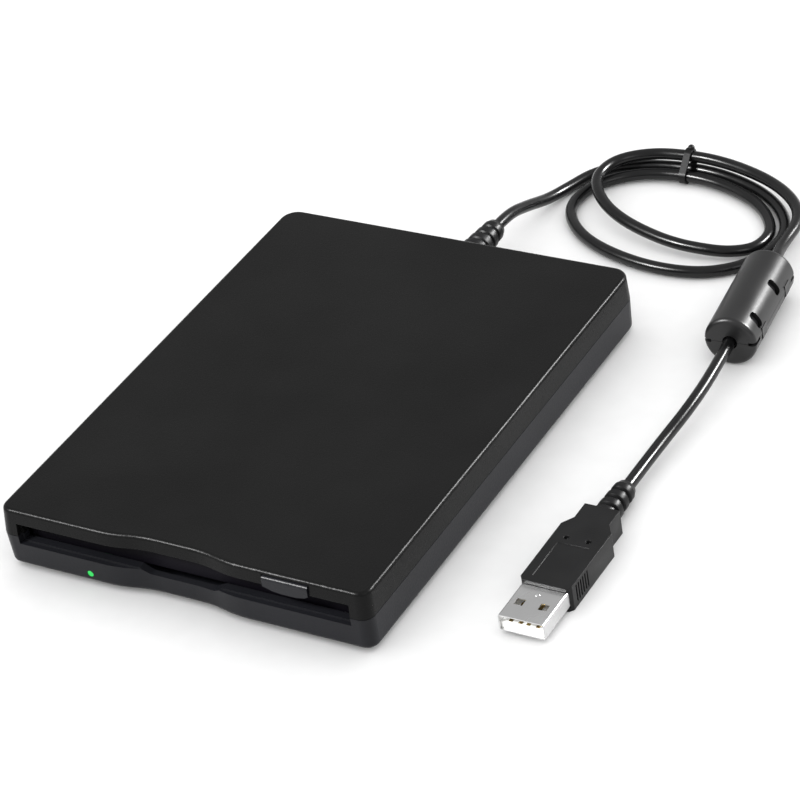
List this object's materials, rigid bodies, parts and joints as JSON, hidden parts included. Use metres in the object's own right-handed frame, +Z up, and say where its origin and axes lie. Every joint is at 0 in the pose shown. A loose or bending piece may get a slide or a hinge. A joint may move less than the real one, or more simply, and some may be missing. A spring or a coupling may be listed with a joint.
{
  "type": "external floppy disk drive",
  "caption": "Flat dark portable disk drive with a wide front slot, wave-cut lip, eject button and signal light, and a coiled cord with a clip-on ferrite and a flat plug.",
  "frame": {"origin": "middle of the case's footprint, on the surface its feet stand on", "axes": "+X to the right when one faces the slot, +Y from the slot to the back, +Z up"},
  "size_m": [0.1409, 0.2126, 0.0174],
  "materials": {
    "case_top": "satin",
    "case_bottom": "satin",
    "button_plastic": "satin",
    "door_plastic": "matt",
    "light_plastic": "clear green",
    "sheet_steel": "brushed",
    "bright_steel": "polished",
    "cast_metal": "cast",
    "black_plastic": "matt",
    "ceramic": "polished",
    "circuit_board": "lacquered",
    "copper": "enamelled",
    "bearing_bronze": "sintered",
    "magnet": "matt",
    "ferrite": "matt",
    "cord_jacket": "glossy",
    "rubber": "matt",
    "contacts": "plated",
    "tongue": "matt",
    "ribbon": "satin"
  },
  "bodies": {
    "case": {"top_cover": "case_top", "bottom_cover": "case_bottom", "eject_springs": "bright_steel", "drive_chassis": "sheet_steel", "chassis_screws": "bright_steel", "controller_board": "circuit_board", "controller_parts": "black_plastic", "status_led": "light_plastic", "led_light_pipe": "light_plastic", "sensor_switches": "black_plastic", "spindle_bearing": "bearing_bronze", "stator_core": "sheet_steel", "stator_coils": "copper", "guide_rod": "bright_steel", "stepper_motor": "sheet_steel", "track_zero_sensor": "black_plastic", "bridge_board": "circuit_board", "bridge_parts": "black_plastic", "cord_wires": "cord_jacket", "board_ribbon": "ribbon", "case_screws": "bright_steel", "rubber_feet": "rubber", "cord_strain_relief": "cord_jacket", "cord_exit_run": "cord_jacket", "cord_coil": "cord_jacket", "cord_front_run": "cord_jacket", "cord_tie": "black_plastic", "ferrite_case_lower": "black_plastic", "ferrite_core_lower": "ferrite", "plug_overmould": "cord_jacket", "plug_shell": "bright_steel", "plug_tongue": "tongue", "plug_contacts": "contacts"},
    "ejector": {"eject_button": "button_plastic", "eject_slider": "sheet_steel"},
    "holder": {"disk_holder": "sheet_steel", "lever_rivet": "bright_steel"},
    "lever": {"shutter_lever": "sheet_steel"},
    "door": {"dust_door": "door_plastic"},
    "spindle": {"spindle_rotor": "sheet_steel", "rotor_magnet": "magnet", "spindle_hub": "bright_steel"},
    "catch_pin": {"drive_pin": "bright_steel"},
    "carriage": {"head_carriage": "cast_metal", "lower_head": "ceramic", "arm_pivot_pin": "bright_steel"},
    "upper_arm": {"upper_head_arm": "black_plastic", "upper_head": "ceramic"},
    "screw": {"lead_screw": "bright_steel"},
    "write_guard": {"write_guard_plunger": "tongue"},
    "density": {"density_plunger": "tongue"},
    "disk_present": {"disk_present_plunger": "tongue"},
    "ferrite_lid": {"ferrite_case_upper": "black_plastic", "ferrite_core_upper": "ferrite"}
  },
  "joints": [
    {"name": "holder_lift", "type": "slide", "parent": "case", "child": "holder", "axis": [0, 0, -1], "range_m": [0, 0.0022]},
    {"name": "eject_slide", "type": "slide", "parent": "case", "child": "ejector", "axis": [0, -1, 0], "range_m": [0, 0.0035]},
    {"name": "lever_swing", "type": "hinge", "parent": "holder", "child": "lever", "pos_m": [0.034, 0.022, 0.014], "axis": [0, 0, -1], "range_deg": [0, 50.5], "stiffness_Nm_per_rad": 0.002},
    {"name": "door_swing", "type": "hinge", "parent": "case", "child": "door", "pos_m": [0, -0.0652, 0.0139], "axis": [1, 0, 0], "range_deg": [0, 85], "stiffness_Nm_per_rad": 0.0005},
    {"name": "spindle_turn", "type": "hinge", "parent": "case", "child": "spindle", "pos_m": [0, -0.0185, 0.006], "axis": [0, 0, 1], "continuous": true},
    {"name": "catch_pin_dip", "type": "slide", "parent": "spindle", "child": "catch_pin", "axis": [0, 0, -1], "range_m": [0, 0.0006], "stiffness_N_per_m": 100},
    {"name": "carriage_slide", "type": "slide", "parent": "case", "child": "carriage", "axis": [0, -1, 0], "range_m": [0, 0.0148]},
    {"name": "screw_turn", "type": "hinge", "parent": "case", "child": "screw", "pos_m": [0.014, 0, 0.009], "axis": [0, 1, 0], "range_deg": [0, 1780]},
    {"name": "arm_tilt", "type": "hinge", "parent": "carriage", "child": "upper_arm", "pos_m": [0, 0.052, 0.0126], "axis": [1, 0, 0], "range_deg": [0, 6.3]},
    {"name": "write_guard_press", "type": "slide", "parent": "case", "child": "write_guard", "axis": [0, 0, -1], "range_m": [0, 0.001], "stiffness_N_per_m": 60},
    {"name": "density_press", "type": "slide", "parent": "case", "child": "density", "axis": [0, 0, -1], "range_m": [0, 0.001], "stiffness_N_per_m": 60},
    {"name": "disk_present_press", "type": "slide", "parent": "case", "child": "disk_present", "axis": [0, 0, -1], "range_m": [0, 0.001], "stiffness_N_per_m": 60},
    {"name": "ferrite_open", "type": "hinge", "parent": "case", "child": "ferrite_lid", "pos_m": [0.07354, 0.07645, 0.0069], "axis": [0.1091, -0.994, 0], "range_deg": [0, 95]}
  ],
  "couplings": [
    {"joint": "eject_slide", "follows": "holder_lift", "ratio": 1.59},
    {"joint": "arm_tilt", "follows": "holder_lift", "rad_per_m": 49.9},
    {"joint": "screw_turn", "follows": "carriage_slide", "rad_per_m": 2094.4}
  ]
}
